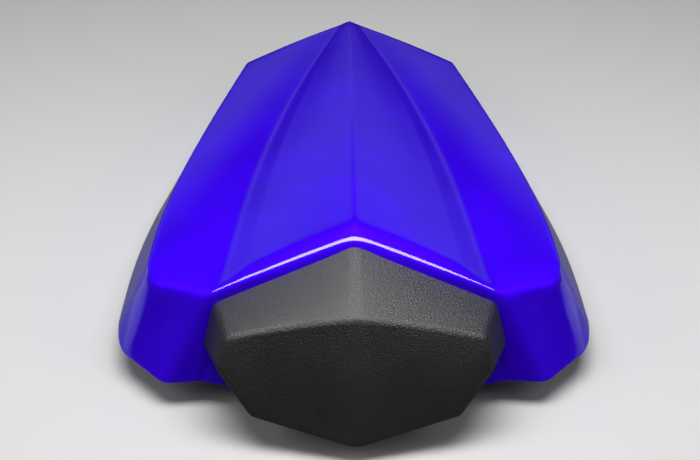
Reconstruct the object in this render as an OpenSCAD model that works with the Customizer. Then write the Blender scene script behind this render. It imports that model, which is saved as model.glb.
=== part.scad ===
// Single-seat cowl for a sports motorcycle. A painted moulded shell carries a thick moulded
// backrest pad on its front wall and is closed from below by a moulded base plate, which holds
// a steel lock striker at the front, two tongues at the rear and four rubber dampers.
// X is across, +Y points to the tail, Z is up. The cowl stands on its rear lower edge and on
// the striker, with the origin in the middle of that footprint.

/* [Overall] */
// Length from the lowest point of the pad to the tail
total_length = 403; // [390:1:420]
// Width of the shell across its lower edge, just behind the shoulders
shell_width = 268.4; // [256:0.2:280]
// Wall of the painted shell
wall = 2.8; // [2:0.1:3.2]
// Height by which the striker lifts the front of the shell off the ground
front_lift = 14; // [10:0.5:18]

/* [Top surface] */
// Width across the upper edges at the shoulders
shoulder_width = 226.6; // [216:0.2:236]
// Height of the upper edge at the shoulders
shoulder_height = 57.8; // [52:0.2:64]
// Width across the upper edges at the tail corners
tail_width = 136.4; // [126:0.2:146]
// Height of the upper edge at the tail corners
tail_height = 34; // [30:0.5:38]
// Distance by which the tail point stands behind the tail corners
tail_point = 41; // [34:0.5:48]
// Height of the tail point
tip_height = 42; // [39:0.5:46]
// Height of the front edge of the hump on the centre line
apex_height = 87; // [82:0.5:94]
// Height of the spine of the hump where it meets the front band
spine_height = 89.6; // [87:0.2:96]
// Rise of the spine above a straight line at mid length
spine_crown = 6; // [2:0.5:10]
// Depth of the sloping band along the front edge of the hump
band_depth = 11; // [8:0.5:14]

/* [Front wall] */
// Half width of the hump's front edge, where the band runs out
brow_half_width = 81.5; // [77:0.5:86]
// Height of the ends of the hump's front edge
brow_height = 60; // [56:0.5:64]
// Distance from the front of the pad back to the hump's front edge, on the centre line
brow_setback = 84.9; // [80:0.1:90]
// Distance by which the ends of that edge stand further forward
brow_sweep = 14.8; // [10:0.2:20]
// Distance from the front of the pad back to the front lower edge, on the centre line
prow_setback = 28.5; // [26:0.5:31]
// Height of the front lower edge on the centre line
prow_height = 12; // [9:0.5:15]

/* [Edges] */
// Length over which the upper side edges are rounded
edge_round = 4.4; // [4:0.1:6]
// Length over which the hump's front edge is rounded
brow_round = 6; // [5:0.1:8]
// Length over which the crease beside the hump is softened
crease_round = 7; // [4:0.5:10]
// Length over which the upright shoulder corners are rounded
corner_round = 12; // [9:0.5:14]

/* [Pad] */
// Distance of the pad's lowest point above the ground
pad_ground_gap = 6; // [4:0.5:9]
// Width across the widest part of the pad where it meets the shell
pad_width = 164; // [158:0.5:168]
// Height of the pad's brow on the centre line
pad_brow_height = 69; // [65:0.5:73]
// Edge radius of the pad
pad_round = 4; // [2.5:0.1:5]
// Glue line between the pad and the shell
pad_gap = 0.2; // [0.1:0.05:0.3]
// Diameter of the threaded inserts in the back of the pad
insert_d = 8; // [7:0.25:9]

/* [Base plate] */
// Thickness of the base plate
plate_t = 3; // [2:0.25:4]
// Depth of the base plate above the lower edge of the shell
plate_recess = 10; // [9.5:0.25:12]
// Gap between the base plate's rim and the shell
plate_gap = 0.8; // [0.4:0.1:1.2]
// Diameter of the screw bosses inside the shell
boss_d = 9; // [8:0.5:11]
// Shank diameter of the self-tapping screws
tapping_d = 4; // [3.5:0.1:4.5]
// Depth of the pilot hole in each boss
pilot_depth = 14; // [12:0.5:18]

/* [Lock striker] */
// Diameter of the striker rod
rod_d = 6; // [5:0.25:7]
// Distance between the two legs of the striker, centre to centre
striker_width = 38; // [34:0.5:44]
// Distance of the striker behind the front of the pad
striker_setback = 109.5; // [104:0.5:116]
// Thickness of the striker's foot plate
foot_t = 3; // [2:0.25:4]
// Shank diameter of the bolts that hold the striker
bolt_d = 6; // [5:0.25:6]

/* [Dampers] */
// Diameter of the rubber dampers
damper_d = 16; // [13:0.5:18]
// Height of a damper below the base plate
damper_height = 5; // [4:0.25:6]

/* [Hidden] */
half_length = total_length / 2;
fit = 0.1;              // clearance of a fastener in its hole, on the radius
PAINT = "#2a00d8";
BLACK = "#1d1d1e";
STEEL = "#b4b6ba";
BRASS = "#b5985a";

// Points of the shell's surface, on the side of +X. Places near the front are given as
// distances back from the front of the pad.
front_y = -half_length;
tail_foot_out = 3;      // the tail wall leans out by this much at its foot
corner_y = half_length - tail_foot_out - tail_point;
front_rail_y = front_y + 103.5;     // where the side wall starts to turn round the shoulder
tilt = atan(front_lift / (corner_y - front_rail_y));
shoulder = [shoulder_width / 2, front_y + 89.5, shoulder_height];
brow_end = [brow_half_width, front_y + brow_setback - brow_sweep, brow_height];
apex = [0, front_y + brow_setback, apex_height];
prow = [0, front_y + prow_setback, prow_height];
wing_foot = [shell_width / 2 - 28.7, front_y + 49.5, 15];   // lowest point of the shoulder
notch = [brow_half_width + 3.5, front_y + 51.5, 14.5];      // step in the lower edge beside the pad
corner_foot = [shell_width / 2 - 4.7, front_y + 81.5, 15];
lower_rail = [[shell_width / 2, front_rail_y, front_lift],
              [shell_width / 2 - 1, lerp(corner_y, front_rail_y, 0.491), front_lift * 0.491],
              [tail_width / 2 + 4, corner_y, 0]];
upper_rail = [[shoulder.x, shoulder.y + 8, shoulder.z - 0.7],
              [shoulder.x + 2.7, lerp(corner_y, shoulder.y, 0.696), (shoulder.z + tail_height) / 2 + 4.7],
              [tail_width / 2, corner_y, tail_height]];
crease_rail = [[brow_half_width - 8.3, apex.y - 3, brow_height + 3],
               [brow_half_width - 21.5, lerp(half_length, apex.y, 0.508), (brow_height + tip_height) / 2 + 1],
               [5, half_length - tail_foot_out - 3, tip_height - 0.6]];
spine_rail = [[0, apex.y + band_depth, spine_height],
              [0, lerp(half_length, apex.y, 0.492), (spine_height + tip_height) / 2 + spine_crown],
              [0, half_length - tail_foot_out, tip_height]];

function lerp(a, b, s) = a + (b - a) * s;
function unit(v) = v / norm(v);
function bezier(p, t) = lerp(lerp(p[0], p[1], t), lerp(p[1], p[2], t), t);
// The point at a distance d from p towards q, at most half of the way
function towards(p, q, d) = lerp(p, q, min(0.5, d / max(norm(q - p), 0.001)));
function with_z(p, z) = [p.x, p.y, z];

// A row of the surface from its outer foot to the centre line:
// foot, upper edge, panel middle, crease, two points of the hump, centre
panel_crown = 1.2;
function top_row(t) =
    let (foot = bezier(lower_rail, t), edge = bezier(upper_rail, t), crease = bezier(crease_rail, t),
         spine = bezier(spine_rail, t), crown = [0, 0, panel_crown])
    [foot, edge, lerp(edge, crease, 0.5) + crown, crease, lerp(crease, spine, 0.2) + crown,
     lerp(crease, spine, 0.6) + crown * 1.5, spine];
brow_row = [corner_foot, shoulder, lerp(shoulder, brow_end, 0.5), brow_end,
            lerp(brow_end, apex, 0.2), lerp(brow_end, apex, 0.6), apex];
foot_row = [wing_foot + [14, 13, 0.5], wing_foot + [11, 10, 0.5], wing_foot + [5.5, 5, 0.3], wing_foot,
            notch, lerp(notch, prow, 0.5), prow];
wall_row = [wing_foot + [19.5, 20, 0.5], for (k = [1:6]) lerp(brow_row[k], foot_row[k], 0.5)];
tail_corner_foot = [tail_width / 2 + 2.8, half_length - tail_point, 0];
tail_foot_row = [lerp(lower_rail[2], tail_corner_foot, 0.5), tail_corner_foot,
                 for (k = [2:6]) with_z(top_row(1)[k] + [top_row(1)[k].x * 0.04, tail_foot_out, 0], 0)];

// Rounding lengths at the edge of the brow, from the outer foot to the centre line
brow_rounds = [corner_round, edge_round * 1.4, edge_round * 1.4, for (k = [3:6]) brow_round];
function before_row(row, other, d) =
    [for (k = [0:len(row) - 1]) towards(row[k], other[k], is_list(d) ? d[k] : d)];
tail_round = 8;
coarse_rows =
    let (tail = top_row(1), next = top_row(0.85))
    [tail_foot_row,
     before_row(tail, tail_foot_row, tail_round), tail, before_row(tail, next, tail_round),
     for (t = [0.75, 0.5, 0.25]) top_row(t),
     before_row(top_row(0), top_row(0.25), 8), top_row(0), brow_row,
     before_row(brow_row, wall_row, brow_rounds), wall_row, foot_row];

// A coarse row with close points on both sides of its edges, then mirrored to the full width
function mirrored(p) = [-p.x, p.y, p.z];
function edged(r) =
    let (half = [r[0], lerp(r[0], r[1], 0.5), towards(r[1], r[0], edge_round), r[1],
                 towards(r[1], r[2], edge_round), r[2], towards(r[3], r[2], crease_round), r[3],
                 towards(r[3], r[4], crease_round), r[4], r[5], towards(r[6], r[5], 4), r[6]])
    [for (k = [0:len(half) - 1]) mirrored(half[k]), for (k = [len(half) - 2:-1:0]) half[k]];
net = [for (r = coarse_rows) edged(r)];

// Smooth curve through a line of control points: each inner point bends it over the stretch
// between the middles of its two neighbours' segments
function bend(a, b, c, s) = lerp(lerp((a + b) / 2, b, s), lerp(b, (b + c) / 2, s), s);
function smooth(p, steps) =
    [p[0], for (k = [1:len(p) - 2]) for (s = [0:1 / steps[k]:0.999]) bend(p[k - 1], p[k], p[k + 1], s),
     (p[len(p) - 2] + p[len(p) - 1]) / 2, p[len(p) - 1]];
function column(rows, j) = [for (r = rows) r[j]];
function transposed(rows) = [for (j = [0:len(rows[0]) - 1]) column(rows, j)];
// Steps on each control point: more on the sharp edges, fewer where the surface is flat
half_steps = [1, 1, 1, 3, 1, 2, 1, 2, 1, 1, 2, 1];
across_steps = concat(half_steps, [2], [for (k = [len(half_steps) - 1:-1:0]) half_steps[k]]);
along_steps = [1, 1, 3, 1, 2, 2, 2, 1, 2, 4, 1, 1, 1];
smooth_rows = [for (r = net) smooth(r, across_steps)];
skin_grid = transposed([for (c = transposed(smooth_rows)) smooth(c, along_steps)]);
rows_n = len(skin_grid);
cols_n = len(skin_grid[0]);

// The surface moved inwards by d along its own normals, its lower edge kept at its height
function within(k, n) = max(1, min(n - 2, k));
function normal_at(g, i, j) = unit(cross(g[i + 1][j] - g[i - 1][j], g[i][j + 1] - g[i][j - 1]));
function moved(i, j, d) = skin_grid[i][j] - d * normal_at(skin_grid, within(i, rows_n), within(j, cols_n));
function on_border(i, j) = i == 0 || j == 0 || i == rows_n - 1 || j == cols_n - 1;
function skin_at(d) = [for (i = [0:rows_n - 1]) for (j = [0:cols_n - 1])
    on_border(i, j) ? with_z(moved(i, j, d), skin_grid[i][j].z) : moved(i, j, d)];

// Solid between two grids of points, n rows of m, the first of them on the outer side.
// The cells are divided towards the corners of the grid, and change over at the row "split".
function divided(a, b, c, d, falling) = falling ? [[a, b, c], [a, c, d]] : [[a, b, d], [b, c, d]];
function grid_faces(first, n, m, split, flip) = [for (i = [0:n - 2]) for (j = [0:m - 2])
    let (a = first + i * m + j, b = a + 1, c = a + m + 1, d = a + m)
    let (falling = (i < split) == (j < (m - 1) / 2))
    for (t = divided(a, b, c, d, falling)) flip ? [t[0], t[2], t[1]] : t];
function border(n, m) = concat([for (j = [0:m - 1]) j], [for (i = [1:n - 1]) i * m + m - 1],
                               [for (j = [m - 2:-1:0]) (n - 1) * m + j], [for (i = [n - 2:-1:1]) i * m]);
module grid_block(outer, inner, n, m, split) {
    edge = border(n, m);
    total = len(edge);
    rim = [for (k = [0:total - 1]) let (a = edge[k], b = edge[(k + 1) % total])
           each [[a, n * m + b, b], [a, n * m + a, n * m + b]]];
    faces = concat(grid_faces(0, n, m, split, false), grid_faces(n * m, n, m, split, true), rim);
    polyhedron(concat(outer, inner), faces, convexity = 6);
}
module shell_wall() grid_block(skin_at(0), skin_at(wall), rows_n, cols_n, rows_n / 2);
// Everything that lies at least d inside the outer surface, carried down below the ground
module inside_skin(d)
    grid_block(skin_at(d), [for (p = skin_at(d)) with_z(p, -30)], rows_n, cols_n, rows_n / 2);

// Frame of the lower edge: its origin is under the tail corners and it rises towards the front
module plate_frame() { translate([0, corner_y, 0]) rotate([-tilt, 0, 0]) children(); }
function in_plate(p) = let (v = p - [0, corner_y, 0])
    [v.x, v.y * cos(tilt) - v.z * sin(tilt), v.y * sin(tilt) + v.z * cos(tilt)];
plate_z = plate_recess;                       // underside of the base plate in that frame
plate_top = plate_z + plate_t;
function local_y(y) = (y - corner_y) / cos(tilt);

// Frame on the sloping front wall under the brow: +Z points out of the shell
foot_end = notch;
brow_in = lerp(brow_end, apex, 0.2);
function wall_foot(s) = lerp(prow, foot_end, s);
function wall_brow(s) = lerp(apex, brow_in, s);
function wall_at(s, t, side) = let (p = lerp(wall_foot(s), wall_brow(s), t)) [side * p.x, p.y, p.z];
function wall_normal(s, t, side) =
    let (n = unit(cross(lerp(foot_end - prow, brow_in - apex, t), wall_brow(s) - wall_foot(s))))
    [side * n.x, n.y, n.z];
module on_wall(s, t, side) {
    n = wall_normal(s, t, side);
    translate(wall_at(s, t, side)) rotate([0, acos(n.z), atan2(n.y, n.x)]) children();
}

// The four screws that hold the pad, two near the middle and two near the sides: places
// across and up the wall, and the side
pad_fixings = [[0.3, 0.72, 1], [0.3, 0.72, -1], [0.66, 0.56, 1], [0.66, 0.56, -1]];
module at_pad_fixings() { for (f = pad_fixings) on_wall(f[0], f[1], f[2]) children(); }
seat_rise = 3.2;
seat_depth = wall + seat_rise;                // flat seat of a pad screw, behind the outer surface
washer_t = 1.2;
washer_d = 13;
screw_d = 5;
screw_reach = 8;                              // length of the screw in front of the outer surface
key_d = 3.46;                                 // key opening in its head, across the corners
insert_len = 10;
head_d = 9;
head_t = 3.4;

// The six bosses that the base plate is screwed to: how far each pair stands inwards of the
// shell's or the tail's edge, and its place along the cowl
boss_insets = [46, 56, 18];
boss_setback = 131.5;
boss_from_tail = 33.5;
boss_rows = [[shell_width / 2 - boss_insets[0], front_y + boss_setback],
             [shell_width / 2 - boss_insets[1], lerp(corner_y, front_y, 0.355)],
             [tail_width / 2 - boss_insets[2], corner_y - boss_from_tail]];
boss_h = 70;                                  // more than enough to reach the shell everywhere
boss_places = [for (b = boss_rows) for (side = [1, -1]) [side * b.x, b.y]];
module at_bosses() { for (b = boss_places) translate([b.x, local_y(b.y), 0]) children(); }

module cowl_shell() color(PAINT) difference() {
    union() {
        shell_wall();
        intersection() {
            plate_frame() at_bosses() translate([0, 0, plate_top]) cylinder(d = boss_d, h = boss_h, $fn = 32);
            inside_skin(wall / 2);
        }
        at_pad_fixings() translate([0, 0, -seat_depth])
            cylinder(d = washer_d + 2, h = seat_depth - wall / 2, $fn = 32);
    }
    plate_frame() at_bosses() translate([0, 0, plate_top - 1])
        cylinder(d = tapping_d, h = pilot_depth + 1, $fn = 32);
    at_pad_fixings() translate([0, 0, -seat_depth - 1])
        cylinder(d = screw_d + 2 * fit, h = seat_depth + 4, $fn = 32);
}

// Corners of the pad's faces on the side of +X: front apex, lower corner, side, ridge end,
// ridge quarter, ridge middle, brow middle, brow corner, side at the wall
pad_front = front_y + pad_round * 0.08;
pad_corners = [[0, pad_front, pad_ground_gap + 2.4], [pad_width * 0.345, pad_front + 14.5, 19],
               [pad_width * 0.457, pad_front + 28.5, 42], [pad_width * 0.425, pad_front + 34.5, 57],
               [pad_width * 0.23, pad_front + 31.6, pad_brow_height - 2.5],
               [0, pad_front + 32, pad_brow_height + 2], [0, apex.y - 1, apex_height - 1.5],
               [pad_width * 0.46, brow_end.y - 4, 57], [pad_width / 2 + 1, notch.y + 9, 30]];
pad_middle = [0, notch.y, 44];
module pad_block() {
    hull() {
        for (p = pad_corners) for (side = [1, -1]) {
            q = [side * p.x, p.y, p.z];
            translate(q + unit(pad_middle - q) * pad_round * 1.15) sphere(r = pad_round, $fn = 16);
        }
        for (side = [1, -1]) {
            translate([side * 52, notch.y + 4, 24]) sphere(r = pad_round, $fn = 16);
            translate([side * 2, prow.y + 12, 20]) sphere(r = pad_round, $fn = 16);
        }
    }
}
// Block behind the front wall, its front face d further in than the shell's surface
first_row = rows_n - 14;
first_col = 6;
block_depth = 60;
module wall_block(d) {
    n = rows_n - first_row;
    m = cols_n - 2 * first_col;
    front = [for (i = [first_row:rows_n - 1]) for (j = [first_col:cols_n - 1 - first_col]) moved(i, j, d)];
    grid_block(front, [for (p = front) [p.x, apex.y + block_depth, p.z]], n, m, 0);
}
module backrest_pad() color(BLACK) difference() {
    pad_block();
    wall_block(-pad_gap);
    at_pad_fixings() translate([0, 0, pad_gap - 1]) cylinder(d = insert_d, h = insert_len + 1.6, $fn = 32);
}
module pad_inserts() color(BRASS) at_pad_fixings() translate([0, 0, pad_gap + 0.5]) difference() {
    cylinder(d = insert_d, h = insert_len, $fn = 32);
    translate([0, 0, -1]) cylinder(d = screw_d, h = insert_len - 1, $fn = 32);
}
module pad_washers() color(STEEL) at_pad_fixings() translate([0, 0, -seat_depth - washer_t]) difference() {
    cylinder(d = washer_d, h = washer_t, $fn = 32);
    translate([0, 0, -1]) cylinder(d = screw_d + 2 * fit, h = washer_t + 2, $fn = 32);
}
module pad_screws() color(STEEL) at_pad_fixings() translate([0, 0, -seat_depth - washer_t]) difference() {
    union() {
        cylinder(d = screw_d, h = seat_depth + washer_t + screw_reach, $fn = 32);
        translate([0, 0, -head_t]) cylinder(d = head_d, h = head_t, $fn = 32);
    }
    translate([0, 0, -head_t - 1]) cylinder(d = key_d, h = head_t - 0.4, $fn = 6);
}

// Outline of the base plate: the shell's inner surface at the height of the plate
function level_from(a, b) = let (s = (plate_top - a.z) / (b.z - a.z)) lerp(a, b, s);
function level_point(i, j, di, dj) =
    level_from(in_plate(moved(i, j, wall)), in_plate(moved(i + di, j + dj, wall)));
side_rows = [for (i = [4:rows_n - 7]) i];
last_col = cols_n - 1;
tail_cols = [6, 12, last_col / 2, last_col - 12, last_col - 6];
wall_cols = [5, 8, 11, 13, 14];
front_cols = [for (k = wall_cols) last_col - k, last_col / 2, for (k = [4:-1:0]) wall_cols[k]];
outline = concat(
    [for (j = tail_cols) level_point(1, j, 1, 0)],
    [for (i = side_rows) level_point(i, last_col, 0, -1)],
    [for (j = front_cols) level_point(rows_n - 1, j, -1, 0)],
    [for (k = [len(side_rows) - 1:-1:0]) level_point(side_rows[k], 0, 0, 1)]);

// Sizes of the striker, of its foot plate and of its bolts and nuts
striker_y = local_y(front_y + striker_setback);
loop_z = (rod_d / 2 + striker_y * sin(tilt)) / cos(tilt);
bend_r = rod_d * 1.5;
bolt_head_d = bolt_d * 1.75;
bolt_head_t = bolt_d * 0.55;
nut_af = bolt_d * 10 / 6;
nut_t = bolt_d * 0.92;
flange_d = bolt_d * 14 / 6;
foot_d = flange_d + 12;
bolt_x = striker_width / 2 + foot_d / 2;
foot_w = 2 * bolt_x + foot_d * 0.6;
backing_t = foot_t * 2 / 3;

// Ribs under the base plate, the tongues that hook under the frame and the holes
tongue_w = 24;
tongue_len = 30;
tongue_t = 3;
tongue_root = 6;
tongue_slot = 6;
tongue_x = 28;
tongue_from_tail = 47.5;
tongue_y = local_y(corner_y - tongue_from_tail);
rib_t = 2.4;
rib_h = 5;
rib_clear = 20;                               // from the striker's foot plate and the tongues
rib_front = striker_y + foot_d / 2 + rib_clear;
rib_back = tongue_y - rib_clear;
rib_middle = (rib_front + rib_back) / 2;
rib_x = 24;
side_rib_x = shell_width / 2 - 68.2;
damper_front_x = shell_width / 2 - 72.2;
damper_rear_x = tail_width / 2 - 16.2;
damper_setback = 34;
damper_from_tail = 73.5;
damper_rows = [[damper_front_x, notch.y + damper_setback], [damper_rear_x, corner_y - damper_from_tail]];
damper_places = [for (p = damper_rows) for (side = [1, -1]) [side * p.x, p.y]];
neck_d = damper_d * 0.5;
module rib(x, y, w, l) translate([x - w / 2, y - l / 2, plate_z - rib_h]) cube([w, l, rib_h + 1]);
module ribs() {
    for (side = [-1, 1]) {
        rib(side * rib_x, rib_middle, rib_t, rib_back - rib_front);
        rib(side * side_rib_x, (striker_y + rib_middle + rib_t) / 2, rib_t, rib_middle + rib_t - striker_y);
    }
    for (y = [rib_front + rib_t, rib_middle]) rib(0, y, 2 * side_rib_x, rib_t);
    rib(0, rib_back - rib_t, 2 * rib_x, rib_t);
}
module tongue(x) translate([x - tongue_w / 2, tongue_y, plate_z - tongue_slot - tongue_t]) {
    cube([tongue_w, tongue_len, tongue_t]);
    cube([tongue_w, tongue_root, tongue_t + tongue_slot + 1]);
}
module base_plate() color(BLACK) plate_frame() difference() {
    union() {
        translate([0, 0, plate_z]) linear_extrude(plate_t) offset(delta = -plate_gap)
            polygon([for (p = outline) [p.x, p.y]]);
        ribs();
        tongue(tongue_x);
        tongue(-tongue_x);
    }
    at_bosses() translate([0, 0, plate_z - 1]) cylinder(d = tapping_d + 1, h = plate_t + 2, $fn = 32);
    at_dampers() translate([0, 0, plate_z - 1]) cylinder(d = neck_d, h = plate_t + 2, $fn = 32);
    at_striker_bolts() bolt_hole(plate_z, plate_t);
}

tapping_head_d = tapping_d * 2.25;
tapping_head_t = tapping_d * 0.65;
module base_plate_screws() color(STEEL) plate_frame() at_bosses() translate([0, 0, plate_z]) difference() {
    union() {
        cylinder(d = tapping_d, h = plate_t + pilot_depth - 2, $fn = 32);
        translate([0, 0, -tapping_head_t / 2]) cylinder(d = tapping_head_d, h = tapping_head_t / 2, $fn = 32);
        translate([0, 0, -tapping_head_t])
            cylinder(d1 = tapping_head_d * 0.7, d2 = tapping_head_d, h = tapping_head_t / 2, $fn = 32);
    }
    for (a = [0, 90]) rotate([0, 0, a]) translate([0, 0, -tapping_head_t])
        cube([tapping_d, tapping_d / 4, tapping_head_t * 1.2], center = true);
}

// Damper: a disc under the plate, a neck through it and a barbed head above it
module at_dampers() { for (d = damper_places) translate([d.x, local_y(d.y), 0]) children(); }
barb = 1.6;             // of the damper's head, beyond its neck
head_h = 4.5;
module damper(k) color(BLACK) plate_frame()
    translate([damper_places[k].x, local_y(damper_places[k].y), plate_z]) rotate_extrude($fn = 40)
        polygon([[0, -damper_height], [damper_d / 2 - 1.5, -damper_height],
                 [damper_d / 2, -damper_height + 1.5], [damper_d / 2, 0], [neck_d / 2, 0],
                 [neck_d / 2, plate_t], [neck_d / 2 + barb, plate_t], [neck_d / 2 + barb, plate_t + 1],
                 [neck_d / 2 + barb - 3, plate_t + head_h], [0, plate_t + head_h]]);
module damper_front_right() damper(0);
module damper_front_left() damper(1);
module damper_rear_right() damper(2);
module damper_rear_left() damper(3);

// Striker: a rod bent to a U and welded to a foot plate, its lowest line on the ground
module at_striker() translate([0, striker_y, 0]) children();
module bolt_hole(z, t) translate([0, 0, z - 1]) cylinder(d = bolt_d + 2 * fit, h = t + 2, $fn = 32);
module at_striker_bolts() at_striker() { for (side = [-1, 1]) translate([side * bolt_x, 0, 0]) children(); }
module rounded_bar(t) hull() for (side = [-1, 1])
    translate([side * (foot_w - foot_d) / 2, 0, 0]) cylinder(d = foot_d, h = t, $fn = 32);
module lock_striker() color(STEEL) plate_frame() at_striker() difference() {
    union() {
        translate([0, 0, plate_z - foot_t]) rounded_bar(foot_t);
        for (side = [-1, 1]) {
            translate([side * striker_width / 2, 0, loop_z + bend_r])
                cylinder(d = rod_d, h = plate_z - foot_t / 2 - loop_z - bend_r, $fn = 32);
            translate([side * (striker_width / 2 - bend_r), 0, loop_z + bend_r]) rotate([90, 0, 0])
                rotate([0, 0, side > 0 ? -90 : 180]) rotate_extrude(angle = 90, $fn = 64)
                    translate([bend_r, 0]) circle(d = rod_d, $fn = 32);
        }
        translate([-striker_width / 2 + bend_r, 0, loop_z]) rotate([0, 90, 0])
            cylinder(d = rod_d, h = striker_width - 2 * bend_r, $fn = 32);
    }
    for (side = [-1, 1]) translate([side * bolt_x, 0, 0]) bolt_hole(plate_z - foot_t, foot_t);
}
module striker_backing_plate() color(STEEL) plate_frame() difference() {
    at_striker() translate([0, 0, plate_top]) rounded_bar(backing_t);
    at_striker_bolts() bolt_hole(plate_top, backing_t);
}
module striker_bolts() color(STEEL) plate_frame()
at_striker_bolts() translate([0, 0, plate_z - foot_t]) difference() {
    union() {
        cylinder(d = bolt_d, h = foot_t + plate_t + backing_t + nut_t * 1.4, $fn = 32);
        translate([0, 0, -bolt_head_t])
            cylinder(d1 = bolt_head_d * 0.67, d2 = bolt_head_d, h = bolt_head_t / 2, $fn = 32);
        translate([0, 0, -bolt_head_t / 2]) cylinder(d = bolt_head_d, h = bolt_head_t / 2, $fn = 32);
    }
    translate([0, 0, -bolt_head_t - 1]) cylinder(d = bolt_head_d * 0.44, h = bolt_head_t * 0.6 + 1, $fn = 6);
}
module striker_nuts() color(STEEL) plate_frame()
at_striker_bolts() translate([0, 0, plate_top + backing_t]) difference() {
    union() {
        cylinder(d = nut_af / cos(30), h = nut_t, $fn = 6);
        cylinder(d = flange_d, h = nut_t / 4, $fn = 32);
    }
    translate([0, 0, -1]) cylinder(d = bolt_d, h = nut_t + 2, $fn = 32);
}

cowl_shell();
backrest_pad();
pad_inserts();
pad_washers();
pad_screws();
base_plate();
base_plate_screws();
lock_striker();
striker_backing_plate();
striker_bolts();
striker_nuts();
damper_front_left();
damper_front_right();
damper_rear_left();
damper_rear_right();
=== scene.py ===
# %% [markdown]
# A seat cowl for a sports motorcycle: a glossy painted shell with a ridged hump, and a thick
# black backrest pad on its front wall. The solid model comes first, because every piece made
# here has to fit it. Its box is kept, so that the finished pieces can be measured against it.

# %% The frame and its box
import math
import bpy
from mathutils import Matrix, Vector


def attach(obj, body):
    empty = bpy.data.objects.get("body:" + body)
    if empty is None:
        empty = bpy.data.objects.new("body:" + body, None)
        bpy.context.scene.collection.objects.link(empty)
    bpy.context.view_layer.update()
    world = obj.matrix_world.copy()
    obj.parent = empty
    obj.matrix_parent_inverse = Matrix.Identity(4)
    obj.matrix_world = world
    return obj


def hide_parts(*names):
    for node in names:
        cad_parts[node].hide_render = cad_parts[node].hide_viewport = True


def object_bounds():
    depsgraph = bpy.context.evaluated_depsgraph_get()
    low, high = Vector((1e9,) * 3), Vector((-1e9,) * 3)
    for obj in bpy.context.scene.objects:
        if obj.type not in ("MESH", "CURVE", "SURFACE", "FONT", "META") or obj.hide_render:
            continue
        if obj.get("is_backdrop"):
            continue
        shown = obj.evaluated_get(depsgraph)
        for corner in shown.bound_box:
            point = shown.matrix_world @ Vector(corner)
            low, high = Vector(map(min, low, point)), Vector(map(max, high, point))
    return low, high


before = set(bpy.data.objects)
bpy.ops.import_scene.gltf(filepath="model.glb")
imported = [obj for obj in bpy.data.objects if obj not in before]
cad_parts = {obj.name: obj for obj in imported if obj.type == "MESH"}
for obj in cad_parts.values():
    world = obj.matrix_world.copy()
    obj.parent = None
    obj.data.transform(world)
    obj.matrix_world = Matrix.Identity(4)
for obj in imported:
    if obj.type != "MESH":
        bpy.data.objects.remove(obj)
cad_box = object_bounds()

MM = 0.001


def in_mm(place):
    return [round(v / MM, 1) for v in place]


print("solid pieces:", sorted(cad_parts))
print("box of the solid model, in mm:", [in_mm(corner) for corner in cad_box])

# %% [markdown]
# The camera looks down on the pad from a little over a metre away. Its place is measured from
# the middle of the cowl, and three turns aim it: down, a little aside, and a small roll. The
# last two are what a camera held by hand has. The long lens keeps the lines nearly parallel.

# %% Camera
CAMERA_PLACE = Vector((-13.4, -1014.0, 734.3)) * MM
CAMERA_DOWN = math.radians(35.6)
CAMERA_ASIDE = math.radians(-0.6856)
CAMERA_ROLL = math.radians(-0.2624)
LENS = 105.07
SENSOR_WIDTH = 36.0

bpy.ops.object.camera_add(location=CAMERA_PLACE)
camera = bpy.context.object
camera.name = "camera"
camera.data.lens = LENS
camera.data.sensor_width = SENSOR_WIDTH
look = (Matrix.Rotation(CAMERA_ASIDE, 4, "Z")
        @ Matrix.Rotation(math.pi / 2 - CAMERA_DOWN, 4, "X")
        @ Matrix.Rotation(-CAMERA_ROLL, 4, "Z"))
camera.matrix_world = Matrix.Translation(CAMERA_PLACE) @ look
bpy.context.scene.camera = camera
print("camera looks along", [round(v, 3) for v in look @ Vector((0, 0, -1))])

# %% [markdown]
# The shell is one moulding. On the real one a designer draws a few long lines: the lower edge,
# the upper edge, the crease beside the hump and the spine. Everything between them is nearly
# flat. So the surface is a grid laid over these four lines, row by row from the tail to the
# front, and a subdivision surface makes it smooth. Boxes joined together could not give one
# unbroken gloss, and a sculpted mesh would lose the straight lines.

# %% The lines of the shell
# Each long line is a curve from the front to the tail, pulled towards its middle point. The
# two corner lines are short arcs from the side wall round to the front. Only the right half is
# given, because the cowl is the same on both sides.


def mm(*values):
    return Vector(values) * MM


def along(line, t):
    """The place at share t of a curve with three points."""
    first = line[0].lerp(line[1], t)
    return first.lerp(line[1].lerp(line[2], t), t)


LOWER_EDGE = [mm(133.9, -98, 14), mm(133.2, 32, 6.9), mm(72.2, 157.5, 0)]
UPPER_EDGE = [mm(115, -98, 57.1), mm(116, -30, 50.6), mm(68.2, 157.5, 34)]
CREASE = [mm(73.3, -120.3, 62.2), mm(60, 40, 52), mm(5, 195.5, 41.4)]
SPINE = [mm(0, -105.6, 89.6), mm(0, 45, 71.8), mm(0, 198.5, 42)]
CORNER_TOP = [mm(115.4, -110.5, 57.4), mm(114.8, -118.3, 57.7), mm(106.2, -122.3, 58.6)]
CORNER_FOOT = [mm(133.6, -103, 14.5), mm(133, -120.5, 15), mm(127.2, -128.6, 15.3)]
print("half width at the lower edge, in mm:", in_mm(along(LOWER_EDGE, t)[0] for t in (0, 0.5, 1)))

# %% Rows over the top
# The middle of each face is raised by the crown, and the crown fades where the hump is narrow.
CROWN = mm(0, 0, 1.2)
FLANK_CROWN = 1.5
FULL_CROWN_WIDTH = 50 * MM
FLANK_SHARES = (0.2, 0.6)


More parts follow.
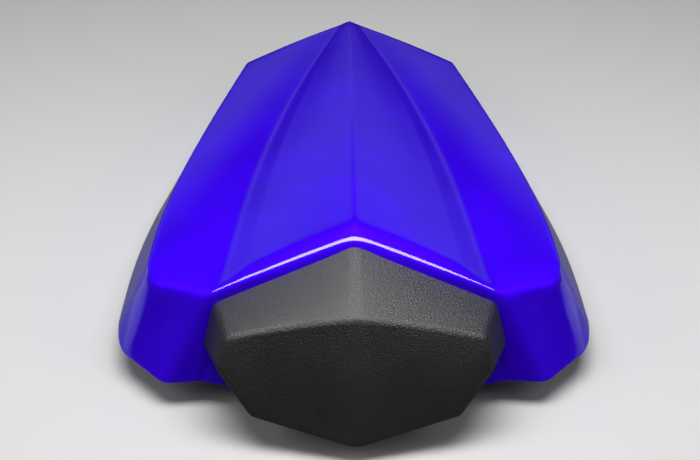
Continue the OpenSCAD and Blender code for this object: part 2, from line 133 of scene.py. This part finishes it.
def top_row(t):
    lines = (LOWER_EDGE, UPPER_EDGE, CREASE, SPINE)
    foot, edge, crease, spine = (along(line, t) for line in lines)
    crown = CROWN * min(1, crease.x / FULL_CROWN_WIDTH)
    fold, flank = (crease.lerp(spine, share) for share in FLANK_SHARES)
    return [foot, edge, edge.lerp(crease, 0.5) + CROWN, crease, fold + crown,
            flank + crown * FLANK_CROWN, spine]


front_top = top_row(0)
print("front of the spine, in mm:", in_mm(front_top[-1]))

# %% Rows of the front wall and the tail
# The brow is the hump's front edge, and the prow the foot of the wall below it. The wing is the
# part of the front beside the pad, and a notch parts its foot from the prow.
BROW_END = mm(80.5, -133, 61.2)
BROW_APEX = mm(0, -116.6, 87)
PROW = mm(0, -173, 12)
NOTCH = mm(83.3, -150.7, 14.5)
WING_FOOT = mm(105, -153.2, 15)
WING_SIDE = mm(116.2, -141, 15.4)
SHOULDER = along(CORNER_TOP, 0.5)
TAIL_FOOT = mm(71, 160.5, 0)
TAIL_LEAN = 3 * MM
TAIL_SPREAD = 0.04

brow_fold, brow_flank = (BROW_END.lerp(BROW_APEX, share) for share in FLANK_SHARES)
brow_row = [CORNER_FOOT[0], SHOULDER, SHOULDER.lerp(BROW_END, 0.5), BROW_END,
            brow_fold, brow_flank, BROW_APEX]
foot_row = [along(CORNER_FOOT, 0.5), CORNER_FOOT[2], WING_SIDE, WING_FOOT,
            NOTCH, NOTCH.lerp(PROW, 0.5), PROW]
wall_row = [a.lerp(b, 0.5) for a, b in zip(brow_row, foot_row)]
tail_row = top_row(1)
tail_foot_row = [LOWER_EDGE[2].lerp(TAIL_FOOT, 0.5), TAIL_FOOT]
tail_foot_row += [Vector((p.x * (1 + TAIL_SPREAD), p.y + TAIL_LEAN, 0)) for p in tail_row[2:]]
print("points in a half row:", len(brow_row))

# %% [markdown]
# A subdivision surface rounds everything. Where an edge should stay tight, two more points are
# put close to it, one on each side: the closer they are, the tighter the edge. The hump's front
# edge, the shoulders, the upper side edges and the tail get such pairs, the creases beside the
# hump softer ones. Edge creases could do the same, but they end in a hard line.

# %% Points that hold an edge
# The brow has a distance for each point of its row, from the foot of the side to the apex.
EDGE_HOLD = 3.2 * MM
CREASE_HOLD = 6 * MM
BROW_HOLDS = [v * MM for v in (9, 10, 6.5, 12, 11, 5.8, 4.5)]
BROW_TURN = 8 * MM
BROW_SPINE = 15 * MM
NOTCH_HOLD = 3 * MM
SPINE_HOLD = 3 * MM
TAIL_HOLD = 6 * MM
SMALLEST_GAP = 1e-6


def near(p, other, distance):
    """A place beside p on the way to the other point, at most half-way."""
    gap = (other - p).length
    return p.lerp(other, min(0.5, distance / max(gap, SMALLEST_GAP)))


def near_row(row, other, distances):
    return [near(p, q, d) for p, q, d in zip(row, other, distances)]


def even(distance):
    return [distance] * len(brow_row)


beside_brow = near_row(brow_row, front_top, BROW_HOLDS)
print("brow held at, in mm:", in_mm((p - q).length for p, q in zip(brow_row, beside_brow)))

# %% [markdown]
# On the real shell the side wall turns into the front over a broad rounding, and a narrow strip
# of light runs down it. A bevel could round it, but would leave a seam of its own at both ends.
# So the corner is drawn as two arcs, one at the shoulder and one at the foot, and the rows of
# the front take their outer points from the surface between the two.

# %% The rounded corner
# Both counts start at the shoulder and end at the foot: across runs down the side wall, and
# down runs down the front.
ACROSS_STEPS = (1, 0.5, 0.12, 0)
DOWN_STEPS = (0, 0.12, 0.5, 0.88, 1)


def corner(across, down):
    if across == down == 0:
        return SHOULDER
    turn = down / across / 2 if across >= down else 1 - across / down / 2
    return along(CORNER_TOP, turn).lerp(along(CORNER_FOOT, turn), max(across, down))


print("middle of the corner, in mm:", in_mm(corner(0.5, 0.5)))

# %% All rows, from the tail to the front
ROW_BEFORE_TAIL = 0.85
TOP_SHARES = (0.75, 0.5, 0.25)


def full_row(r, crease_hold=CREASE_HOLD, spine_hold=SPINE_HOLD, down=None):
    """Both halves of a row, with the points that hold its edges put in."""
    half = [r[0], r[0].lerp(r[1], 0.5), near(r[1], r[0], EDGE_HOLD), r[1],
            near(r[1], r[2], EDGE_HOLD), r[2],
            near(r[3], r[2], crease_hold), r[3], near(r[3], r[4], crease_hold),
            near(r[4], r[3], NOTCH_HOLD), r[4], near(r[4], r[5], NOTCH_HOLD), r[5],
            near(r[6], r[5], spine_hold), r[6]]
    if down is not None:
        half[:4] = [corner(across, down) for across in ACROSS_STEPS]
        half[4] = near(half[3], r[2], CREASE_HOLD)
    return [Vector((-p.x, p.y, p.z)) for p in half] + half[-2::-1]


top_rows = [tail_foot_row, near_row(tail_row, tail_foot_row, even(TAIL_HOLD)), tail_row,
            near_row(tail_row, top_row(ROW_BEFORE_TAIL), even(TAIL_HOLD))]
top_rows += [top_row(t) for t in TOP_SHARES]
top_rows += [near_row(front_top, top_row(TOP_SHARES[-1]), even(CREASE_HOLD)), front_top]
front_rows = [brow_row, near_row(brow_row, wall_row, BROW_HOLDS), wall_row,
              near_row(foot_row, wall_row, even(CREASE_HOLD)), foot_row]
rows = [full_row(r) for r in top_rows]
rows.append(full_row(beside_brow, BROW_TURN, BROW_SPINE))
rows += [full_row(r, BROW_TURN, BROW_SPINE, down) for r, down in zip(front_rows, DOWN_STEPS)]
print("rows:", len(rows), "points in a row:", len(rows[0]))

# %% [markdown]
# The grid is added as a primitive, and each of its points is set on its place. Solidify then
# gives the wall inwards, so that the outer surface stays where the lines put it, and a small
# bevel breaks the sharp lower rim, which is what catches light on the real one.

# %% Shell grid
bpy.ops.object.select_all(action="DESELECT")
bpy.ops.mesh.primitive_grid_add(x_subdivisions=len(rows[0]) - 1,
                                y_subdivisions=len(rows) - 1, size=1)
shell = bpy.context.object
shell.name = "shell"
places = [p for row in reversed(rows) for p in row]
assert len(shell.data.vertices) == len(places)
for vertex, place in zip(shell.data.vertices, places):
    vertex.co = place
print("shell grid faces:", len(shell.data.polygons))

# %% Shell surface, wall and rim
SHELL_LEVELS = 3
WALL = 2.8 * MM
RIM_WIDTH = 0.8 * MM
RIM_SEGMENTS = 2
RIM_ANGLE = math.radians(50)


def apply_all(piece):
    bpy.context.view_layer.objects.active = piece
    for modifier in list(piece.modifiers):
        bpy.ops.object.modifier_apply(modifier=modifier.name)


smooth = shell.modifiers.new("smooth", "SUBSURF")
smooth.levels = SHELL_LEVELS
smooth.render_levels = SHELL_LEVELS
wall = shell.modifiers.new("wall", "SOLIDIFY")
wall.thickness = WALL
wall.offset = -1
wall.use_even_offset = True
rim = shell.modifiers.new("rim", "BEVEL")
rim.width = RIM_WIDTH
rim.segments = RIM_SEGMENTS
rim.limit_method = "ANGLE"
rim.angle_limit = RIM_ANGLE
apply_all(shell)
for vertex in shell.data.vertices:
    vertex.co.z = max(vertex.co.z, 0)
bpy.ops.object.shade_smooth()
print("shell faces:", len(shell.data.polygons))

# %% [markdown]
# The backrest pad is firm foam, moulded with its own skin, so it keeps its faces and doesn't
# sag or wrinkle. Its front has eight corners and a fold down the middle, and its upper part is
# cut back from a slightly bulging ridge to the brow. A cloth simulation would swell such faces
# into a pillow. A cylinder has the right faces already: its front ring is moved onto the
# outline of the front and its back ring onto the shell's front wall, where screws hold it.

# %% Two rings of the pad
PAD_GAP = 0.5 * MM
WELL_IN_FRONT = -400 * MM
RIDGE_APEX, RIDGE_END = mm(0, -169, 72), mm(69.8, -166.4, 57.4)
RIDGE_BULGE = mm(0, 0.51, 1.0)
RIDGE_STEPS = 5
TOP_APEX, TOP_END = mm(0, 0, 84), mm(77.5, 0, 56.5)
FRONT_CORNERS = [mm(74.6, -173.5, 42), mm(56.6, -187.6, 19.2), mm(0, -201.4, 8)]
BACK_CORNERS = [mm(83.5, 0, 33), mm(57, 0, 20), mm(0, 0, 17)]


def on_wall(p):
    """The place on the shell's front wall straight behind p, less the gap of the fit."""
    start = Vector((p.x, WELL_IN_FRONT, p.z))
    hit, place = shell.ray_cast(start, Vector((0, 1, 0)))[:2]
    assert hit
    return place - Vector((0, PAD_GAP, 0))


def ring(half):
    return half + [Vector((-p.x, p.y, p.z)) for p in half[-2:0:-1]]


def bulging(t):
    return RIDGE_APEX.lerp(RIDGE_END, t) + RIDGE_BULGE * 4 * t * (1 - t)


steps = [k / RIDGE_STEPS for k in range(RIDGE_STEPS + 1)]
front_ring = ring([bulging(t) for t in steps] + FRONT_CORNERS)
back_ring = ring([on_wall(p) for p in [TOP_APEX.lerp(TOP_END, t) for t in steps] + BACK_CORNERS])
SIDES = len(front_ring)
BOTTOM = SIDES // 2
print("top corner of the pad on the wall, in mm:", in_mm(back_ring[0]))

# %% Pad block
bpy.ops.object.select_all(action="DESELECT")
bpy.ops.mesh.primitive_cylinder_add(vertices=SIDES, radius=1, depth=2, end_fill_type="NGON")
pad = bpy.context.object
pad.name = "pad"
for vertex in pad.data.vertices:
    turn = round(math.atan2(vertex.co.x, vertex.co.y) / math.tau * SIDES) % SIDES
    vertex.co = (front_ring if vertex.co.z > 0 else back_ring)[turn]
print("pad block sides:", SIDES)

# %% Middle folds of the pad
# Each end of the block is one many-sided face. Two of its corners are selected, top and bottom,
# and joined by an edge, which is the fold.
SAME_PLACE = 0.01 * MM


def at_one_of(point, corners):
    return any((point - p).length < SAME_PLACE for p in corners)


def select_corners(piece, corners):
    bpy.ops.object.mode_set(mode="OBJECT")
    mesh = piece.data
    for element in list(mesh.polygons) + list(mesh.edges):
        element.select = False
    for vertex in mesh.vertices:
        vertex.select = at_one_of(vertex.co, corners)
    bpy.ops.object.mode_set(mode="EDIT")


bpy.ops.object.mode_set(mode="EDIT")
bpy.ops.mesh.select_mode(type="VERT")
for outline in (front_ring, back_ring):
    select_corners(pad, [outline[0], outline[BOTTOM]])
    bpy.ops.mesh.vert_connect_path()
bpy.ops.mesh.select_all(action="SELECT")
bpy.ops.mesh.normals_make_consistent(inside=False)
bpy.ops.object.mode_set(mode="OBJECT")
print("pad block faces:", len(pad.data.polygons))

# %% [markdown]
# A mould's edges aren't all equally round. The fold down the front is the softest, the corners
# beside the ridge come next, and the rim that lies on the shell is nearly sharp. So one bevel
# rounds the whole block, and the bevel weight of each edge says how much of the full width it
# takes. The steps of the ridge are no edges on the real pad, so they take nothing.

# %% Pad edges
FULL_ROUND = 6 * MM
ROUND_SEGMENTS = 6
ROUND_PLAIN = 0.5
ROUND_BACK = 0.25
ROUND_CORNER = 0.7
ROUND_NONE = 0.0
ROUND_FOLD = 1.0
STEP_SIDES = range(1, RIDGE_STEPS)
CORNER_SIDES = (0, RIDGE_STEPS, RIDGE_STEPS + 1)


def joins(edge, corners):
    return all(at_one_of(pad.data.vertices[k].co, corners) for k in edge.vertices)


def roundness(edge):
    if joins(edge, [front_ring[0], front_ring[BOTTOM]]):
        return ROUND_FOLD
    for k in range(SIDES):
        if joins(edge, [front_ring[k], back_ring[k]]):
            side = min(k, SIDES - k)
            if side in STEP_SIDES:
                return ROUND_NONE
            if side in CORNER_SIDES:
                return ROUND_CORNER
    return ROUND_BACK if joins(edge, back_ring) else ROUND_PLAIN


weights = pad.data.attributes.new("bevel_weight_edge", "FLOAT", "EDGE")
for edge in pad.data.edges:
    weights.data[edge.index].value = roundness(edge)
rounding = pad.modifiers.new("rounding", "BEVEL")
rounding.limit_method = "WEIGHT"
rounding.width = FULL_ROUND
rounding.segments = ROUND_SEGMENTS
apply_all(pad)
bpy.ops.object.shade_smooth()
print("pad faces:", len(pad.data.polygons))

# %% [markdown]
# No finish on the real cowl is one flat colour. Paint is a little thicker here than there,
# moulded skin is shinier where its mould was smooth, and steel is duller where it was touched.
# The same two effects are in every finish, so each is made once as a node group: slow patches
# that change colour and roughness together, and a grain that feeds a bump. Values that are the
# same all over, such as the coat, stay on the shader itself.

# %% Group: slow patches
FLOAT, COLOUR = "NodeSocketFloat", "NodeSocketColor"
# The sockets of a Mix node have the same names for numbers and colours, so they go by number.
SHARE, NUMBER_A, NUMBER_B, COLOUR_A, COLOUR_B = 0, 2, 3, 6, 7
NUMBER_OUT, COLOUR_OUT = 0, 2
PATCH_DETAIL = 4
PATCH_SPREAD = {"From Min": 0.3, "From Max": 0.7}


def new_group(name, inputs, outputs):
    group = bpy.data.node_groups.new(name, "ShaderNodeTree")
    for label, kind, value in inputs:
        socket = group.interface.new_socket(name=label, in_out="INPUT", socket_type=kind)
        socket.default_value = value
    for label, kind in outputs:
        group.interface.new_socket(name=label, in_out="OUTPUT", socket_type=kind)
    return group, group.nodes.new("NodeGroupInput"), group.nodes.new("NodeGroupOutput")


def set_inputs(node, values):
    for label, value in values.items():
        node.inputs[label].default_value = value


patches, given, made = new_group(
    "slow_patches",
    [("First Colour", COLOUR, (0, 0, 0, 1)), ("Second Colour", COLOUR, (1, 1, 1, 1)),
     ("Least Roughness", FLOAT, 0.4), ("Most Roughness", FLOAT, 0.5),
     ("Patches per Metre", FLOAT, 20)],
    [("Colour", COLOUR), ("Roughness", FLOAT)])
place = patches.nodes.new("ShaderNodeTexCoord")
noise = patches.nodes.new("ShaderNodeTexNoise")
set_inputs(noise, {"Detail": PATCH_DETAIL})
spread = patches.nodes.new("ShaderNodeMapRange")
set_inputs(spread, PATCH_SPREAD)
mix = patches.nodes.new("ShaderNodeMix")
mix.data_type = "RGBA"
rough = patches.nodes.new("ShaderNodeMapRange")
wire = patches.links.new
wire(place.outputs["Object"], noise.inputs["Vector"])
wire(given.outputs["Patches per Metre"], noise.inputs["Scale"])
wire(noise.outputs["Fac"], spread.inputs["Value"])
wire(spread.outputs["Result"], mix.inputs[SHARE])
wire(given.outputs["First Colour"], mix.inputs[COLOUR_A])
wire(given.outputs["Second Colour"], mix.inputs[COLOUR_B])
wire(mix.outputs[COLOUR_OUT], made.inputs["Colour"])
wire(spread.outputs["Result"], rough.inputs["Value"])
wire(given.outputs["Least Roughness"], rough.inputs["To Min"])
wire(given.outputs["Most Roughness"], rough.inputs["To Max"])
wire(rough.outputs["Result"], made.inputs["Roughness"])
print("group:", patches.name, "with", len(patches.nodes), "nodes")

# %% Group: moulded grain
# Rounded cells like pebbles, with a finer noise over them.
CELL_SMOOTHNESS = 0.4
FINE_TIMES = 2.7
FINE_DETAIL = 2

grain, given, made = new_group(
    "moulded_grain",
    [("Cells per Metre", FLOAT, 900), ("Fine Share", FLOAT, 0.3)],
    [("Height", FLOAT)])
place = grain.nodes.new("ShaderNodeTexCoord")
cells = grain.nodes.new("ShaderNodeTexVoronoi")
cells.feature = "SMOOTH_F1"
set_inputs(cells, {"Smoothness": CELL_SMOOTHNESS})
fine_scale = grain.nodes.new("ShaderNodeMath")
fine_scale.operation = "MULTIPLY"
fine_scale.inputs[1].default_value = FINE_TIMES
fine = grain.nodes.new("ShaderNodeTexNoise")
set_inputs(fine, {"Detail": FINE_DETAIL})
both = grain.nodes.new("ShaderNodeMix")
wire = grain.links.new
wire(place.outputs["Object"], cells.inputs["Vector"])
wire(place.outputs["Object"], fine.inputs["Vector"])
wire(given.outputs["Cells per Metre"], cells.inputs["Scale"])
wire(given.outputs["Cells per Metre"], fine_scale.inputs[0])
wire(fine_scale.outputs["Value"], fine.inputs["Scale"])
wire(given.outputs["Fine Share"], both.inputs[SHARE])
wire(cells.outputs["Distance"], both.inputs[NUMBER_A])
wire(fine.outputs["Fac"], both.inputs[NUMBER_B])
wire(both.outputs[NUMBER_OUT], made.inputs["Height"])
print("group:", grain.name, "with", len(grain.nodes), "nodes")

# %% A finish from the two groups


def new_material(name):
    material = bpy.data.materials.new(name)
    material.use_nodes = True
    return material


def shader_of(material):
    return material.node_tree.nodes["Principled BSDF"]


def finish(name, colours, roughness, patch, cell, fine, depth, metallic=0.0):
    """A material whose colour and roughness change in patches and whose surface has a grain.

    Patch, cell and depth are lengths, and fine is the share of the finer noise in the grain.
    """
    material = new_material(name)
    shader = shader_of(material)
    tree = material.node_tree
    slow = tree.nodes.new("ShaderNodeGroup")
    slow.node_tree = patches
    set_inputs(slow, {"First Colour": (*colours[0], 1), "Second Colour": (*colours[1], 1),
                      "Least Roughness": roughness[0], "Most Roughness": roughness[1],
                      "Patches per Metre": 1 / patch})
    surface = tree.nodes.new("ShaderNodeGroup")
    surface.node_tree = grain
    set_inputs(surface, {"Cells per Metre": 1 / cell, "Fine Share": fine})
    bump = tree.nodes.new("ShaderNodeBump")
    set_inputs(bump, {"Distance": depth})
    set_inputs(shader, {"Metallic": metallic})
    tree.links.new(slow.outputs["Colour"], shader.inputs["Base Color"])
    tree.links.new(slow.outputs["Roughness"], shader.inputs["Roughness"])
    tree.links.new(surface.outputs["Height"], bump.inputs["Height"])
    tree.links.new(bump.outputs["Normal"], shader.inputs["Normal"])
    print("finish:", name)
    return material


# %% [markdown]
# The shell is painted in a deep blue under a clear coat. The blue has hardly any red and no
# green in it, so it stays clean in the shade, and it glows where the lamp is above it, as paint
# with fine metal flakes does. A partly metallic base gives that glow, and the coat over it the
# sharp white line along the brow. A plain glossy plastic would put a pale veil over the blue.

# %% Finish: gloss paint
paint = finish("blue_gloss_paint", ((0.044, 0, 0.9), (0.054, 0, 1.0)), (0.58, 0.63),
               patch=45 * MM, cell=0.7 * MM, fine=0.5, depth=0.012 * MM, metallic=0.7)
set_inputs(shader_of(paint), {"Specular IOR Level": 0.05, "Coat Weight": 1.0,
                              "Coat Roughness": 0.03, "Coat IOR": 1.6})
shell.data.materials.append(paint)

# %% [markdown]
# The pad's skin is almost black and gets its grey only from the light that it scatters off its
# grain. So the colour is kept very dark and the grain deep, with cells under a millimetre wide
# as in the photograph. A lighter grey without a grain would look like painted plastic.

# %% Finish: pad skin
skin = finish("black_pad_skin", ((0.004, 0.004, 0.0042), (0.006, 0.006, 0.0063)), (0.42, 0.5),
              patch=30 * MM, cell=0.9 * MM, fine=0.5, depth=0.45 * MM)
set_inputs(shader_of(skin), {"Specular IOR Level": 1.0})
pad.data.materials.append(skin)

# %% [markdown]
# The parts below are the solid model's own: the base plate in black spark-eroded plastic, the
# striker and the screws in zinc-plated steel, the inserts in brass and the dampers in rubber.
# Their shapes are right as they are, so each only gets its finish, from the same two groups.

# %% Finishes of the parts below
black_plastic = finish("black_plastic", ((0.016, 0.016, 0.017), (0.024, 0.024, 0.025)),
                       (0.5, 0.66), patch=40 * MM, cell=0.6 * MM, fine=0.6, depth=0.05 * MM)
zinc_steel = finish("zinc_steel", ((0.6, 0.61, 0.63), (0.66, 0.66, 0.67)), (0.24, 0.42),
                    patch=6 * MM, cell=0.5 * MM, fine=0.8, depth=0.006 * MM, metallic=1.0)
brass = finish("brass", ((0.66, 0.5, 0.25), (0.75, 0.57, 0.3)), (0.26, 0.4),
               patch=4 * MM, cell=0.4 * MM, fine=0.8, depth=0.005 * MM, metallic=1.0)
rubber = finish("rubber", ((0.022, 0.022, 0.022), (0.036, 0.035, 0.034)), (0.68, 0.85),
                patch=8 * MM, cell=0.8 * MM, fine=0.7, depth=0.04 * MM)

# %% Each part below gets its finish
PARTS_BY_FINISH = [
    (black_plastic, ["base_plate"]),
    (brass, ["pad_inserts"]),
    (zinc_steel, ["pad_washers", "pad_screws", "base_plate_screws", "lock_striker",
                  "striker_backing_plate", "striker_bolts", "striker_nuts"]),
    (rubber, ["damper_front_left", "damper_front_right", "damper_rear_left",
              "damper_rear_right"]),
]
for material, names in PARTS_BY_FINISH:
    for name in names:
        bpy.data.objects[name].material_slots[0].material = material
    print(material.name, "is on", len(names))

# %% [markdown]
# A studio picture has a pale floor and soft light. The floor is one plain plane, evenly pale to
# the camera. A glossy body shows its surroundings, and a real studio is dark apart from its lamps
# and the sheet around the object. So for glossy rays only, the floor's colour is painted light: a
# painted reflection of a pale sheet beside the cowl, where the side walls and the rounded corners
# mirror it, painted shade under the cowl, and a fade to dark away from there.

# %% Floor plane
FLOOR_SIZE = 8
FLOOR_GREY = 0.47
FLOOR_ROUGHNESS = 0.7

bpy.ops.object.select_all(action="DESELECT")
bpy.ops.mesh.primitive_plane_add(size=FLOOR_SIZE)
floor = bpy.context.object
floor.name = "floor"
pale = new_material("pale_floor")
tree = pale.node_tree
set_inputs(shader_of(pale), {"Roughness": FLOOR_ROUGHNESS})
seen_by = tree.nodes.new("ShaderNodeLightPath")
# For glossy rays the floor's colour is swapped for the painted reflection and painted shade.
painted_reflection_mix = tree.nodes.new("ShaderNodeMix")
painted_reflection_mix.data_type = "RGBA"
painted_reflection_mix.inputs[COLOUR_A].default_value = (FLOOR_GREY, FLOOR_GREY, FLOOR_GREY, 1)
tree.links.new(seen_by.outputs["Is Glossy Ray"], painted_reflection_mix.inputs[SHARE])
tree.links.new(painted_reflection_mix.outputs[COLOUR_OUT], shader_of(pale).inputs["Base Color"])
floor.data.materials.append(pale)
floor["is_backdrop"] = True
print("floor size, in m:", [round(v, 2) for v in floor.dimensions])

# %% What glossy rays see of the floor: a painted reflection and painted shade
# Each fade is a span, in metres from the middle of the cowl, and the levels at its two ends.
# Where the painted shadow of the cowl ends and the painted reflection of a lit sheet begins.
PAINTED_SHADOW_EDGE = (0.165, 0.2)
# A painted reflection of a lit sheet beside the cowl.
PAINTED_SHEET_ASIDE = (PAINTED_SHADOW_EDGE, (0, 0.25))
# Painted shade under the cowl, where its shadow falls, and a dim floor further aside.
PAINTED_SHADE_ASIDE = (PAINTED_SHADOW_EDGE, (0.085, 0.02))
BESIDE_TAIL = ((0.04, 0.12), (1, 0))
BEHIND = ((0.2, 0.45), (1, 0.1))
IN_FRONT = ((-0.5, -0.2), (0.1, 1))
FAR_ASIDE = ((0.35, 0.6), (1, 0.05))


def figure(tree, operation, first, second=0):
    node = tree.nodes.new("ShaderNodeMath")
    node.operation = operation
    for socket, value in zip(node.inputs, (first, second)):
        if isinstance(value, (int, float)):
            socket.default_value = value
        else:
            tree.links.new(value, socket)
    return node.outputs["Value"]


def product(tree, first, *others):
    for other in others:
        first = figure(tree, "MULTIPLY", first, other)
    return first


def faded(tree, value, span, levels):
    fade = tree.nodes.new("ShaderNodeMapRange")
    fade.interpolation_type = "SMOOTHSTEP"
    set_inputs(fade, {"From Min": span[0], "From Max": span[1],
                      "To Min": levels[0], "To Max": levels[1]})
    tree.links.new(value, fade.inputs["Value"])
    return fade.outputs["Result"]


middle = tree.nodes.new("ShaderNodeTexCoord")
split = tree.nodes.new("ShaderNodeSeparateXYZ")
tree.links.new(middle.outputs["Object"], split.inputs["Vector"])
lengthwise = split.outputs["Y"]
aside = figure(tree, "ABSOLUTE", split.outputs["X"])
painted_sheet_reflection = product(tree, faded(tree, aside, *PAINTED_SHEET_ASIDE), faded(tree, lengthwise, *BESIDE_TAIL))
painted_shade_under = product(tree, faded(tree, aside, *PAINTED_SHADE_ASIDE), faded(tree, lengthwise, *BEHIND),
                faded(tree, lengthwise, *IN_FRONT))
# The painted reflection and the painted shade together, fading far aside.
painted_reflection = product(tree, figure(tree, "ADD", painted_sheet_reflection, painted_shade_under), faded(tree, aside, *FAR_ASIDE))
tree.links.new(painted_reflection, painted_reflection_mix.inputs[COLOUR_B])
print("nodes in the floor:", len(tree.nodes))

# %% [markdown]
# One wide lamp hangs over the cowl. It lights the hump and the floor, and its picture in the
# coat is the white line along the brow. Two weaker lamps at the sides open up the front faces;
# they give no picture of their own, because the real cowl shows just one line. The left one is
# a little stronger, as in the photograph.

# %% Lamps
AIM = (0, -0.15, 0.05)
OVERHEAD = {"place": (0, -0.0775, 0.86), "size": (0.9, 0.385), "watts": 6.2}
OVERHEAD_SPREAD = math.radians(125)
FILL_ASIDE, FILL_FRONT, FILL_HEIGHT = 0.98, -0.36, 0.65
FILL_SIZE = (0.8, 0.8)
FILLS = [("fill_left", -1, 4.8), ("fill_right", 1, 3.9)]


def softbox(name, place, size, watts):
    bpy.ops.object.light_add(type="AREA", location=place)
    lamp = bpy.context.object
    lamp.name = name
    lamp.data.shape = "RECTANGLE"
    lamp.data.size = size[0]
    lamp.data.size_y = size[1]
    lamp.data.energy = watts
    lamp.rotation_euler = (Vector(AIM) - lamp.location).to_track_quat("-Z", "Y").to_euler()
    return lamp


overhead = softbox("softbox_overhead", **OVERHEAD)
overhead.data.spread = OVERHEAD_SPREAD
for name, side, watts in FILLS:
    fill = softbox(name, (FILL_ASIDE * side, FILL_FRONT, FILL_HEIGHT), FILL_SIZE, watts)
    fill.visible_glossy = False

# %% [markdown]
# The world is dark, with a faint white band low behind the tail. The hump mirrors that band,
# which is the thin veil over its rear half. A bright world would wash out the paint's shading.

# %% World
# The spans of the band are parts of a direction's Z, which is 0 at the horizon and 1 straight
# up. The last one is part of its Y, which is 1 straight towards the tail.
BAND_TOP = ((0.2, 0.4), (0.19, 0.0))
BAND_FOOT = ((0.05, 0.25), (0.1, 1.0))
TOWARDS_TAIL = ((-0.2, 0.8), (0.1, 1.0))

world = bpy.data.worlds.new("studio")
bpy.context.scene.world = world
world.use_nodes = True
tree = world.node_tree
background = tree.nodes["Background"]
place = tree.nodes.new("ShaderNodeTexCoord")
way = tree.nodes.new("ShaderNodeSeparateXYZ")
tree.links.new(place.outputs["Generated"], way.inputs["Vector"])
strength = product(tree, faded(tree, way.outputs["Z"], *BAND_TOP),
                   faded(tree, way.outputs["Z"], *BAND_FOOT),
                   faded(tree, way.outputs["Y"], *TOWARDS_TAIL))
tree.links.new(strength, background.inputs["Strength"])
set_inputs(background, {"Color": (1, 1, 1, 1)})
bpy.context.scene.view_settings.view_transform = "Standard"
print("world:", world.name)

# %% [markdown]
# Both finished pieces are fixed to the one body of the cowl. Each stands for the plain solid of
# the same part, which stays hidden for collision and weight.

# %% Ride and replace
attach(shell, "root")
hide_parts("cowl_shell")
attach(pad, "root")
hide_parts("backrest_pad")
print("pieces made here:", shell.name, pad.name)

# %% [markdown]
# Blender must not change the size of the object, so both boxes are printed.

# %% Size
scene_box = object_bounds()
print("box of the finished pieces, in mm:", [in_mm(corner) for corner in scene_box])
